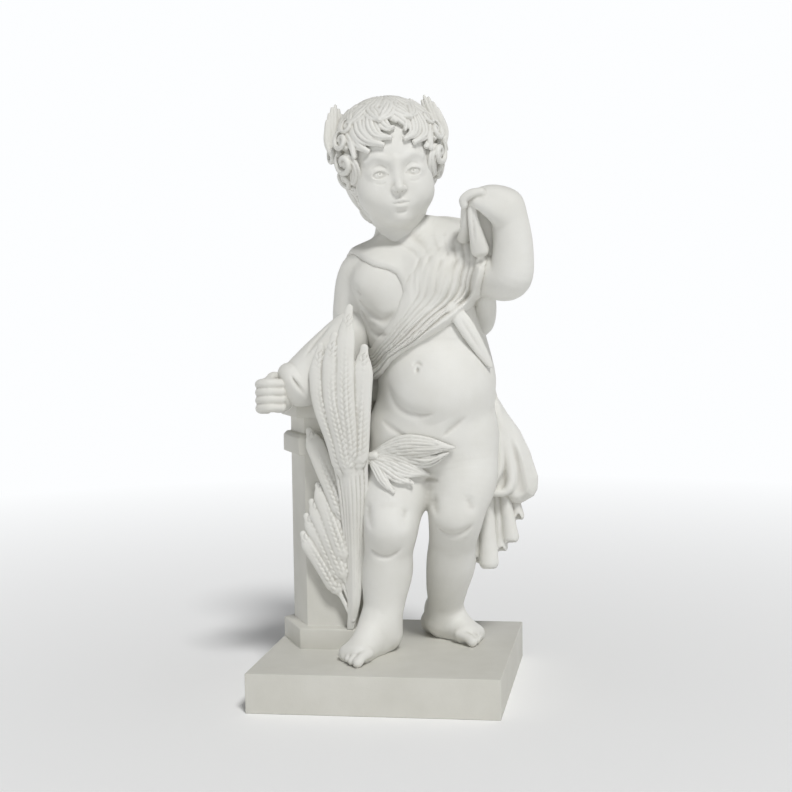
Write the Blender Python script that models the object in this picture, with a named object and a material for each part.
"""Stone garden statue: a standing child in a cloak, leaning on a pillar with a sheaf of wheat.

The whole work is carved from one block, so it is one solid. Metres, +Z up, origin at the middle
of the plinth's underside. The figure faces -Y and its own right side is at -X.
"""
import math

import bmesh
import bpy
import numpy as np
from mathutils import Euler, Matrix, Vector
from mathutils.bvhtree import BVHTree

# Driving dimensions, in metres
FIGURE_HEIGHT = 1.09
PLINTH_WIDTH = 0.48
PLINTH_DEPTH = 0.45
PLINTH_HEIGHT = 0.076
PILLAR_X = -0.1215
PILLAR_Y = 0.063
PILLAR_HEIGHT = 0.49
PILLAR_BASE_RADIUS = 0.1175
PILLAR_SHAFT_RADIUS = 0.096
PILLAR_BASE_HEIGHT = 0.041
CAP_SLAB_HEIGHT = 0.042
CAP_SLAB_RADIUS = 0.112
CAP_SLAB_SLOPE = 0.007
CAP_NECK_HEIGHT = 0.034
CAP_TOP_HEIGHT = 0.030
CAP_TOP_RADIUS = 0.116

# The figure is drawn on a grid of 109 parts to its height, from the plinth's top to the crown
PART = FIGURE_HEIGHT / 109
SKIN_VOXEL = 0.6 * PART
CARVED_VOXEL = 0.5 * PART
SOLID_FACES = 9400

for old in list(bpy.data.objects):
    bpy.data.objects.remove(old, do_unlink=True)


def at(x, y, z):
    """A place on the figure: grid parts from the plinth's middle, z up from the plinth's top."""
    return Vector((x, y, z)) * PART + Vector((0, 0, PLINTH_HEIGHT))


def mound(clay, place, radii, turn=(0, 0, 0), frame=at):
    """An egg of clay with its three radii in grid parts, turned by degrees about X, Y and Z."""
    spin = Euler([math.radians(angle) for angle in turn]).to_matrix().to_4x4()
    size = Matrix.Diagonal([radius * PART for radius in radii] + [1])
    lean = HEAD_TURN.to_4x4() if frame is on_head else Matrix()
    bmesh.ops.create_icosphere(clay, subdivisions=3, radius=1,
                               matrix=Matrix.Translation(frame(*place)) @ lean @ spin @ size)


def smooth_path(knots, steps=6):
    """Points along one smooth curve through the knots, each knot a row of any numbers."""
    knots = [np.array(knot, float) for knot in knots]
    knots = [2 * knots[0] - knots[1]] + knots + [2 * knots[-1] - knots[-2]]
    path = []
    for before, start, end, after in zip(knots, knots[1:], knots[2:], knots[3:]):
        for step in range(steps):
            t = step / steps
            path.append(0.5 * (2 * start + (end - before) * t
                               + (2 * before - 5 * start + 4 * end - after) * t ** 2
                               + (3 * start - before - 3 * end + after) * t ** 3))
    path.append(knots[-2])
    return path


# A roll's rings have this many corners, are laid out from this direction, and stay this thick
ROLL_SIDES = 14
THINNEST_ROLL = 0.15
ROLL_FACE = Vector((0, 1, 0.02))


def sweep(clay, centres, radii):
    """A closed roll of clay through world places, with a round end at each end."""
    rings = []
    for index, centre in enumerate(centres):
        ahead = centres[min(index + 1, len(centres) - 1)]
        behind = centres[max(index - 1, 0)]
        along = (ahead - behind).normalized()
        side = along.cross(ROLL_FACE).normalized()
        up = side.cross(along)
        ring = []
        for corner in range(ROLL_SIDES):
            angle = math.tau * corner / ROLL_SIDES
            out = side * math.cos(angle) + up * math.sin(angle)
            ring.append(clay.verts.new(centre + out * radii[index]))
        rings.append(ring)
    for ring, following in zip(rings, rings[1:]):
        for corner in range(ROLL_SIDES):
            turn = (corner + 1) % ROLL_SIDES
            clay.faces.new((ring[corner], ring[turn], following[turn], following[corner]))
    clay.faces.new(rings[0][::-1])
    clay.faces.new(rings[-1])
    for end in (0, -1):
        bmesh.ops.create_icosphere(clay, subdivisions=2, radius=radii[end],
                                   matrix=Matrix.Translation(centres[end]))


def limb(clay, knots, frame=at):
    """A tapering roll through knots of (x, y, z, radius), all in grid parts."""
    path = smooth_path(knots)
    sweep(clay, [frame(*knot[:3]) for knot in path],
          [max(knot[3], THINNEST_ROLL) * PART for knot in path])


def merge(clay, name, voxel, rounds):
    """One skin over all the clay: the lumps melt together, then the joins are rubbed smooth."""
    bmesh.ops.recalc_face_normals(clay, faces=clay.faces)
    mesh = bpy.data.meshes.new(name)
    clay.to_mesh(mesh)
    clay.free()
    lump = bpy.data.objects.new(name, mesh)
    bpy.context.collection.objects.link(lump)
    remesh = lump.modifiers.new("melt", "REMESH")
    remesh.mode = "VOXEL"
    remesh.voxel_size = voxel
    smooth = lump.modifiers.new("rub", "SMOOTH")
    smooth.factor = 0.5
    smooth.iterations = rounds
    return lump


def cast(lump):
    """The finished skin of a lump as new clay; the lump itself is cleared away."""
    evaluated = lump.evaluated_get(bpy.context.evaluated_depsgraph_get())
    mesh = bpy.data.meshes.new_from_object(evaluated)
    clay = bmesh.new()
    clay.from_mesh(mesh)
    bpy.data.objects.remove(lump, do_unlink=True)
    return clay


# The head turns to its left and leans to its right
HEAD_CENTRE = (0.9, -0.8, 94.8)
HEAD_PART = 1.07 * PART
HEAD_TURN = (Matrix.Rotation(math.radians(17), 3, "Z") @ Matrix.Rotation(math.radians(-7), 3, "Y")
             @ Matrix.Rotation(math.radians(4), 3, "X"))


def on_head(x, y, z):
    """A place on the head: parts from its middle, turned and leaned with it."""
    return at(*HEAD_CENTRE) + HEAD_TURN @ Vector((x, y, z)) * HEAD_PART


def model_trunk(clay):
    """Hips, belly, ribs, shoulders, neck, arms and legs, without hands and feet."""
    mound(clay, (8.2, 0.8, 43.0), (12.6, 8.8, 8.6))
    mound(clay, (8.6, -2.2, 44.5), (10.4, 7.0, 7.4))
    mound(clay, (9.8, -2.8, 51.2), (10.0, 8.6, 9.0))
    mound(clay, (9.4, 0.6, 52.5), (11.4, 8.4, 10.0))
    mound(clay, (7.6, 0.6, 60.0), (10.6, 8.0, 9.0))
    mound(clay, (5.4, 0.2, 69.0), (11.4, 8.2, 11.5), (0, -8, 0))
    mound(clay, (-0.6, -4.6, 72.0), (5.0, 3.8, 4.6))
    mound(clay, (10.4, -4.6, 73.2), (5.0, 3.8, 4.6))
    for side in (-1, 1):
        mound(clay, (8.4 + 5.2 * side, 5.0, 39.8), (6.8, 6.0, 7.4))
    limb(clay, [(4.4, 1.0, 74, 5.4), (3.4, 0.2, 80, 4.5), (2.8, -0.4, 88, 4.5)])
    # Right arm: down to the elbow, then forward over the pillar
    limb(clay, [(-1.0, 1.2, 75.5, 5.4), (-5.6, 1.6, 73.4, 4.6), (-7.4, 2.2, 67.5, 4.3),
                (-8.0, 2.4, 61.5, 4.0), (-10.4, 0.4, 57.6, 4.0), (-15.0, -2.6, 53.6, 3.5),
                (-19.4, -5.2, 51.4, 2.8)])
    # Left arm: out to the raised elbow, then up to the wrist
    limb(clay, [(11.6, 1.2, 76.6, 5.6), (17.0, -1.0, 74.6, 5.2), (22.0, -4.4, 72.2, 4.6),
                (24.8, -6.6, 72.8, 4.1), (25.2, -7.4, 78.0, 3.8), (25.0, -8.2, 83.6, 3.4),
                (24.0, -8.8, 86.2, 3.1)])
    # Right leg, then left leg
    limb(clay, [(3.8, 0.6, 40.0, 7.8), (2.0, -1.8, 34.0, 6.9), (1.1, -4.4, 28.5, 5.8),
                (0.9, -5.6, 24.4, 5.3), (0.2, -4.6, 20.0, 4.7), (-0.4, -3.6, 15.6, 5.0),
                (-0.8, -3.4, 11.0, 4.3), (-1.0, -3.8, 7.2, 3.8), (-1.0, -3.6, 3.6, 3.8)])
    limb(clay, [(13.6, 0.6, 40.0, 7.8), (14.6, -1.2, 34.5, 6.7), (13.8, -2.6, 29.5, 5.7),
                (13.1, -2.2, 26.0, 5.3), (12.2, 0.2, 21.4, 4.6), (11.4, 2.6, 16.8, 4.8),
                (10.4, 5.0, 11.8, 4.3), (9.6, 7.0, 7.6, 3.7), (8.8, 8.4, 3.6, 3.8)])
    mound(clay, (1.1, -9.2, 25.2), (3.4, 2.2, 3.1))
    mound(clay, (13.2, -6.0, 27.0), (3.5, 2.2, 3.2))


def model_foot(clay, heel, ball, toe_side):
    """One bare foot: heel and ball are places on the plinth, toe_side +1 puts the big toe left."""
    heel = Vector(heel)
    ball = Vector(ball)
    along = (ball - heel).normalized()
    across = Vector((-along.y, along.x)) * toe_side
    ankle = heel.lerp(ball, 0.26)
    limb(clay, [(*ankle, 5.6, 3.7), (*heel.lerp(ball, 0.50), 4.1, 3.2),
                (*heel.lerp(ball, 0.80), 2.6, 2.6), (*ball, 1.9, 2.1)])
    limb(clay, [(*heel, 2.2, 2.6), (*heel.lerp(ball, 0.5), 1.9, 2.8),
                (*(ball + across * 1.2), 1.6, 2.2)])
    limb(clay, [(*heel.lerp(ball, 0.4), 1.6, 2.4), (*(ball - across * 1.8), 1.4, 1.9)])
    for toe, reach in enumerate((3.5, 3.3, 2.9, 2.4, 1.8)):
        root = ball + across * (2.6 - 1.4 * toe) - along * (0.25 * toe)
        tip = root + along * reach
        width = 1.2 - 0.1 * toe - (0.15 if toe else 0)
        limb(clay, [(*root, 1.7, width), (*root.lerp(tip, 0.6), 1.5, width * 0.85),
                    (*tip, 1.0, width)])


# Width of one finger of each hand
RIGHT_FINGER = 1.4
LEFT_FINGER = 1.3


def model_hands(clay):
    """The right fist over the pillar and the left hand curled down over the gathered cloth."""
    mound(clay, (-20.8, -6.6, 50.6), (3.2, 2.8, 3.1), (0, -20, 30))
    for finger in range(4):
        low = finger * RIGHT_FINGER
        limb(clay, [(-20.0, -8.8, 52.4 - low, 0.9), (-22.4, -9.6, 52.4 - low, 0.95),
                    (-24.0, -8.0, 52.0 - low, 0.9), (-23.6, -6.0, 51.6 - low, 0.85)])
    limb(clay, [(-20.6, -5.6, 53.4, 1.2), (-22.4, -7.2, 54.0, 1.05), (-23.0, -8.8, 53.4, 0.95)])
    limb(clay, [(24.0, -8.8, 86.2, 3.1), (22.0, -9.4, 87.4, 2.7), (19.6, -9.8, 87.8, 2.0)])
    for finger in range(4):
        depth = -11.4 + finger * LEFT_FINGER
        limb(clay, [(21.6, depth, 88.4, 1.1), (18.8, depth, 88.8, 1.0),
                    (16.9, depth, 87.8, 0.9), (16.8, depth, 86.4, 0.8)])
    limb(clay, [(23.0, -11.0, 85.4, 1.4), (21.2, -11.4, 85.6, 1.1), (19.6, -11.2, 86.4, 0.9)])


def model_head(clay):
    """A child's head without its hair: a calm, round, even face."""
    head = {"frame": on_head}
    mound(clay, (0, 1.6, 2.4), (7.9, 9.2, 8.6), **head)
    mound(clay, (0, -2.4, -3.4), (7.0, 6.6, 7.8), **head)
    mound(clay, (0, -3.4, 3.0), (6.8, 5.7, 5.4), **head)
    for side in (-1, 1):
        mound(clay, (3.6 * side, -5.4, -5.0), (3.2, 2.9, 3.3), **head)
        mound(clay, (2.9 * side, -7.6, -1.0), (1.4, 1.2, 1.0), **head)
        limb(clay, [(1.1 * side, -8.7, 0.8, 0.7), (3.2 * side, -8.4, 1.5, 0.75),
                    (5.2 * side, -6.8, 0.7, 0.6)], **head)
        mound(clay, (0.9 * side, -9.2, -4.2), (0.7, 0.8, 0.6), **head)
    limb(clay, [(0, -8.4, 0.4, 0.8), (0, -9.2, -1.8, 0.75), (0, -9.9, -3.8, 0.95)], **head)
    limb(clay, [(-1.9, -8.3, -6.6, 0.4), (0, -9.2, -6.4, 0.65), (1.9, -8.3, -6.6, 0.4)], **head)
    limb(clay, [(-1.5, -8.3, -7.5, 0.4), (0, -9.0, -7.7, 0.7), (1.5, -8.3, -7.5, 0.4)], **head)
    mound(clay, (0, -7.6, -9.8), (2.0, 1.6, 1.6), **head)
    mound(clay, (0, -3.6, -9.2), (4.6, 4.4, 2.6), **head)
    limb(clay, [(0, 1.0, -6.0, 4.4), (0.6, 1.4, -12.0, 4.2)], **head)


# Locks of hair in each tier. Each tier starts some degrees down from the crown, and ends at one
# slope over the forehead and further down by so much at the nape; its locks lie this proud
LOCKS = 15
TIERS = ((18, 56, 34, 0.5), (62, 92, 52, -0.4))
BARE_FRONT = 0.42
SWAY = 12


def on_hair(turn, slope, lift):
    """A place over the hair: degrees round from the forehead, degrees down from the crown."""
    turn = math.radians(turn)
    slope = math.radians(slope)
    return (math.sin(turn) * math.sin(slope) * (9.0 + lift),
            1.4 - math.cos(turn) * math.sin(slope) * (9.8 + lift),
            2.6 + math.cos(slope) * (9.6 + lift))


# Rib tips of the left leaf, in head parts; the right leaf mirrors it
LEAF_TIPS = ((10.4, 1.6, 9.2), (9.5, 2.4, 10.8), (8.3, 3.2, 12.0), (7.5, 3.1, 10.7), (7.3, 2.2, 8.8))


def model_hair(clay):
    """A thick cap of wavy locks swept out from the crown, with an upright leaf at each temple."""
    head = {"frame": on_head}
    mound(clay, (0, 1.8, 3.4), (9.0, 9.8, 8.8), **head)
    mound(clay, (0, 4.4, -2.6), (7.2, 6.2, 7.6), **head)
    for tier, (start, front_end, nape_drop, lift) in enumerate(TIERS):
        for lock in range(LOCKS):
            turn = 360 * (lock + 0.5 * (1 + tier)) / LOCKS
            away = abs((turn + 180) % 360 - 180) / 180
            if tier and away < BARE_FRONT:
                continue
            end = front_end + nape_drop * away
            wave = SWAY if lock % 2 else -SWAY
            knots = []
            for share in (0, 0.25, 0.5, 0.75, 1):
                slope = start + (end - start) * share
                sway = wave * math.sin(share * math.pi * 1.4)
                knots.append((*on_hair(turn + sway, slope, lift),
                              0.9 + 1.3 * math.sin(math.pi * share)))
            limb(clay, knots, **head)
    for side in (-1, 1):
        # Side curls round the ear, and the lock behind it that falls to the nape
        for curl in range(3):
            limb(clay, [(7.8 * side, -4.6 + 1.6 * curl, 6.4 - 2.2 * curl, 1.7),
                        (9.8 * side, -3.0 + 1.2 * curl, 4.0 - 2.2 * curl, 1.8),
                        (9.4 * side, -4.2 + 1.4 * curl, 1.6 - 2.0 * curl, 1.4),
                        (8.0 * side, -4.6 + 1.4 * curl, 2.4 - 2.0 * curl, 1.0)], **head)
        limb(clay, [(8.4 * side, 1.6, 1.0, 2.4), (7.0 * side, 3.0, -6.0, 2.4),
                    (5.0 * side, 3.4, -11.0, 1.8)], **head)
        # The upright leaf at the temple: ribs that spread from one foot, the middle one tallest
        for rib, (tip_x, tip_y, tip_z) in enumerate(LEAF_TIPS):
            lean = rib / (len(LEAF_TIPS) - 1)
            limb(clay, [((9.6 - 0.8 * lean) * side, -1.2 + 0.4 * lean, 1.6, 1.0),
                        ((10.9 - 3.0 * lean) * side, 0.3 * lean, 5.2, 1.1),
                        (tip_x * side, tip_y, tip_z, 0.6)], **head)


body = bmesh.new()
model_trunk(body)
trunk = cast(merge(body, "trunk", SKIN_VOXEL, 18))
model_foot(trunk, (-1.2, -1.6), (-5.2, -12.6), 1)
model_foot(trunk, (6.2, 12.2), (15.0, 4.8), -1)
model_hands(trunk)
model_head(trunk)
skin = cast(merge(trunk, "skin", SKIN_VOXEL, 5))
SKIN_TREE = BVHTree.FromBMesh(skin)


def on_skin(x, y, z, lift):
    """The place on the skin nearest to a grid place, lifted off it by some parts."""
    near, normal, _, _ = SKIN_TREE.find_nearest(at(x, y, z))
    return near + normal * lift * PART


def drape(clay, knots, lift):
    """A fold of cloth that follows the skin under its knots of (x, y, z, radius)."""
    path = smooth_path(knots)
    sweep(clay, [on_skin(*knot[:3], lift) for knot in path], [knot[3] * PART for knot in path])


# Folds across the chest and down the back, and how far every second one stands out
SASH_FOLDS = 8
SASH_PROUD = 0.4
BACK_FOLDS = 9
BACK_PROUD = 0.5
# The back's folds end above the calves, and much lower on the far left, past this share of them
BACK_HEM = 37.5
LOW_DROP = 20.0
LOW_FROM = 0.62
LOW_OVER = 0.16


def blend_knots(first, second, share):
    """Knots part of the way from one fold's knots to another's."""
    return [tuple(np.array(a) * (1 - share) + np.array(b) * share) for a, b in zip(first, second)]


def model_cloak(clay):
    """The cloak: a sash of folds across the chest, a sleeve, and the fall down the back."""
    hem = [(19.0, 3.0, 76.0, 1.5), (19.6, -3.6, 73.0, 1.7), (16.4, -8.0, 67.2, 1.5),
           (8.0, -11.0, 61.2, 1.3), (-0.4, -9.0, 55.4, 1.3), (-6.0, -2.0, 53.0, 1.6)]
    collar = [(9.5, 4.0, 84.0, 1.6), (9.6, -1.0, 82.0, 1.7), (8.0, -6.0, 77.0, 1.6),
              (5.0, -8.4, 71.0, 1.4), (1.0, -7.6, 64.0, 1.4), (-4.0, -3.0, 60.0, 1.5)]
    for fold in range(SASH_FOLDS):
        share = fold / (SASH_FOLDS - 1)
        drape(clay, blend_knots(hem, collar, share), 0.4 + SASH_PROUD * (fold % 2))
    # The cloth over the throat, to the clasp on the right shoulder
    for fold in range(4):
        drape(clay, [(10.0 - 1.2 * fold, -1.0, 82.0 - 2.6 * fold, 1.4),
                     (5.0 - 1.0 * fold, -6.0, 77.6 - 1.4 * fold, 1.2),
                     (-1.0, -5.0, 76.6 - 0.7 * fold, 1.1), (-6.4, 0.6, 78.6, 1.2)], 0.2)
    # Round the nape and the shoulder tops
    for fold in range(3):
        drape(clay, [(14.5, 2.0 + fold, 83.0, 2.2), (9.0, 4.6 + fold, 83.6, 2.2),
                     (3.0, 6.0 + fold, 82.0, 2.2), (-3.0, 4.4 + fold, 80.0, 2.0),
                     (-7.0, 2.0 + fold, 76.6, 1.8)], 0.4)
    limb(clay, [(-1.4, 3.4, 86.0, 1.3), (-1.4, 2.8, 82.0, 1.5), (-4.6, 1.4, 78.6, 1.4)])
    # The fall down the back: folds fan out from the shoulders and hang lowest at the left
    for fold in range(BACK_FOLDS):
        share = fold / (BACK_FOLDS - 1)
        round_back = math.sin(math.pi * share)
        proud = BACK_PROUD * (fold % 2)
        end = BACK_HEM - LOW_DROP * min(max((share - LOW_FROM) / LOW_OVER, 0), 1)
        limb(clay, [(-6.0 + 21.0 * share, 3.2 + 3.4 * round_back + proud,
                     78.0 + 3.6 * round_back, 2.2),
                    (-5.6 + 22.4 * share, 5.6 + 3.4 * round_back + proud, 66.0, 2.6),
                    (-5.6 + 24.4 * share, 6.0 + 3.2 * round_back + proud, 54.0, 2.8),
                    (-6.4 + 28.4 * share, 7.6 + 3.6 * round_back + proud, 43.0, 2.9),
                    (-6.8 + 28.0 * share, 7.6 + 3.4 * round_back - proud, end, 2.4)])
    # The lobe blown out beside the left hip, and the folds that drop below it
    limb(clay, [(18.4, 4.0, 51.0, 2.2), (23.2, 6.0, 42.6, 2.6), (26.0, 7.4, 34.0, 2.8),
                (25.0, 8.0, 28.6, 2.4)])
    limb(clay, [(18.0, 5.6, 48.0, 2.6), (22.0, 7.6, 38.0, 3.0), (22.6, 8.4, 29.0, 2.8)])
    for fold in range(4):
        start = 15.8 + 2.4 * fold
        limb(clay, [(start + 1.0, 7.8, 34.0, 2.4), (start + 1.0, 7.6 + fold % 2, 26.0, 2.0),
                    (start * 0.86 + 2.4, 7.2 + 1.2 * (fold % 2), 17.2 + 0.6 * fold, 1.7)])
    # The end of the sash that hangs under the raised arm
    drape(clay, [(14.6, -7.0, 66.0, 1.4), (17.6, -5.0, 61.6, 1.2), (20.2, -3.0, 56.6, 1.0)], 0.3)
    limb(clay, [(18.0, 1.0, 70.0, 2.4), (19.4, 1.0, 65.6, 2.2), (19.4, 1.0, 63.2, 1.6)])
    # The cloth gathered from the shoulder up into the raised hand
    for strand in range(3):
        limb(clay, [(18.2 + 1.4 * strand, -9.0 + strand, 88.0, 1.2),
                    (18.6 + 1.2 * strand, -8.4 + strand, 83.4, 1.3),
                    (18.6 + 1.2 * strand, -6.4 + strand, 80.0, 1.5),
                    (17.6, -2.0 + strand, 78.4, 2.2)])
    # The wide sleeve over the right forearm
    limb(clay, [(-7.4, 1.6, 62.0, 4.6), (-9.8, -1.0, 58.2, 5.3), (-13.6, -3.8, 54.6, 5.4),
                (-16.4, -5.4, 53.0, 5.0)])


# Ears of the sheaf: where the stalk leaves the bunch, the foot of the ear and its tip. Four stand
# up the front of the hip, and five fan out over the pillar
EARS = (((-7.0, -5.6, 22.0), (-9.2, -8.8, 41.0), (-11.2, -10.6, 60.4)),
        ((-6.6, -5.8, 20.0), (-7.6, -9.6, 42.0), (-8.4, -11.4, 62.4)),
        ((-6.1, -5.8, 20.0), (-6.4, -10.0, 43.0), (-5.6, -10.4, 67.6)),
        ((-5.6, -5.6, 22.0), (-4.6, -9.0, 42.0), (-2.8, -10.6, 60.0)),
        ((-7.0, -4.6, 20.0), (-10.8, -4.2, 33.5), (-15.2, -4.4, 43.6)),
        ((-7.0, -4.4, 13.0), (-9.6, -3.6, 22.5), (-13.6, -3.2, 32.8)),
        ((-7.0, -4.2, 9.0), (-9.8, -3.4, 17.6), (-15.0, -3.0, 29.5)),
        ((-7.0, -4.0, 8.0), (-10.0, -3.2, 15.2), (-16.2, -3.0, 26.6)),
        ((-7.2, -3.8, 6.0), (-10.2, -3.0, 12.0), (-17.0, -3.0, 23.0)))
STALK_RADIUS = 0.8
EAR_RADIUS = 1.5
EAR_TIP_RADIUS = 0.8


def model_sheaf(clay):
    """Wheat standing on the pillar's foot: the stalks in one bunch, the ears fanned out above."""
    limb(clay, [(-7.8, -2.8, 4.0, 1.2), (-7.1, -3.8, 12.0, 1.6), (-6.8, -4.6, 22.0, 2.2),
                (-6.6, -6.2, 34.0, 3.0), (-7.2, -7.0, 46.0, 3.6), (-7.4, -6.6, 54.0, 3.6)])
    limb(clay, [(-7.6, -3.0, 14.0, 1.4), (-9.8, -2.8, 24.0, 2.2), (-11.0, -3.0, 34.0, 2.6),
                (-10.4, -4.2, 44.0, 3.0)])
    for root, foot, tip in EARS:
        middle = Vector(foot).lerp(Vector(tip), 0.5)
        limb(clay, [(*root, STALK_RADIUS), (*foot, EAR_RADIUS), (*middle, EAR_RADIUS),
                    (*tip, EAR_TIP_RADIUS)])


# Blades of the spray over the loins: (x, y, z) of each tip, and how far the blade arches up
SPRAY_ROOT = (-2.4, -8.4, 38.8)
SPRAY_TIPS = ((14.0, -9.6, 40.9, 1.3), (12.6, -9.6, 39.9, -1.0), (8.8, -9.4, 35.4, 0.6),
              (6.0, -9.4, 33.9, 0.5), (2.4, -9.6, 32.3, 0.5))
RIB_GAP = 1.0


def model_spray(clay):
    """Broad blades that lie over the loins, each ribbed along its length."""
    for *tip, arch in SPRAY_TIPS:
        root = Vector(SPRAY_ROOT)
        tip = Vector(tip)
        side = (tip - root).cross(Vector((0, 1, 0))).normalized()
        for rib in (-1, 0, 1):
            middle = root.lerp(tip, 0.5) + side * (RIB_GAP * rib) + Vector((0, 0, arch))
            drape(clay, [(*root, 0.8), (*middle, 1.1), (*tip, 0.5)], 0.4)


dressed = skin
model_hair(dressed)
model_cloak(dressed)
model_sheaf(dressed)
model_spray(dressed)
figure = merge(dressed, "figure", CARVED_VOXEL, 3)


def prism(name, radius, low, high, top_radius=None):
    """One level of the pillar: a six-sided block, its corners pointing left and right."""
    bpy.ops.mesh.primitive_cone_add(vertices=6, radius1=radius, radius2=top_radius or radius,
                                    depth=high - low,
                                    location=(PILLAR_X, PILLAR_Y, (low + high) / 2),
                                    rotation=(0, 0, math.pi / 6))
    block = bpy.context.object
    block.name = name
    return block


def unite(base, tool):
    """The base with the tool joined on, as one solid; the tool is cleared away."""
    union = base.modifiers.new("join", "BOOLEAN")
    union.operation = "UNION"
    union.object = tool
    bpy.context.view_layer.objects.active = base
    bpy.ops.object.modifier_apply(modifier=union.name)
    bpy.data.objects.remove(tool, do_unlink=True)


# The pillar stands behind the sheaf, and its top bears the sleeve
cap_top = PLINTH_HEIGHT + PILLAR_HEIGHT
neck_top = cap_top - CAP_TOP_HEIGHT
slab_top = neck_top - CAP_NECK_HEIGHT
slab_low = slab_top - CAP_SLAB_HEIGHT
slab_edge = slab_top - CAP_SLAB_SLOPE

bpy.ops.mesh.primitive_cube_add(size=1, location=(0, 0, PLINTH_HEIGHT / 2))
statue = bpy.context.object
statue.name = "putto_statue"
statue.scale = (PLINTH_WIDTH, PLINTH_DEPTH, PLINTH_HEIGHT)
bpy.ops.object.transform_apply(location=True, scale=True)
unite(statue, prism("foot", PILLAR_BASE_RADIUS, PLINTH_HEIGHT / 2,
                    PLINTH_HEIGHT + PILLAR_BASE_HEIGHT))
unite(statue, prism("shaft", PILLAR_SHAFT_RADIUS, PLINTH_HEIGHT, cap_top))
unite(statue, prism("slab", CAP_SLAB_RADIUS, slab_low, slab_edge))
unite(statue, prism("slope", CAP_SLAB_RADIUS, slab_edge - CAP_SLAB_SLOPE / 2, slab_top,
                    CAP_SLAB_RADIUS - CAP_SLAB_SLOPE))
unite(statue, prism("top", CAP_TOP_RADIUS, neck_top, cap_top))

# The figure's skin is thinned to fewer faces before it joins the block it stands on
carved = cast(figure)
bmesh.ops.triangulate(carved, faces=carved.faces)
mesh = bpy.data.meshes.new("figure")
faces = len(carved.faces)
carved.to_mesh(mesh)
carved.free()
figure = bpy.data.objects.new("figure", mesh)
bpy.context.collection.objects.link(figure)
thin = figure.modifiers.new("thin", "DECIMATE")
thin.ratio = SOLID_FACES / faces
bpy.context.view_layer.objects.active = figure
bpy.ops.object.modifier_apply(modifier=thin.name)
unite(statue, figure)

marble = bpy.data.materials.new("marble")
marble.use_nodes = True
surface = marble.node_tree.nodes["Principled BSDF"]
surface.inputs["Base Color"].default_value = (0.78, 0.77, 0.72, 1)
surface.inputs["Roughness"].default_value = 0.6
surface.inputs["Metallic"].default_value = 0
statue.data.materials.clear()
statue.data.materials.append(marble)
statue.data.shade_smooth()
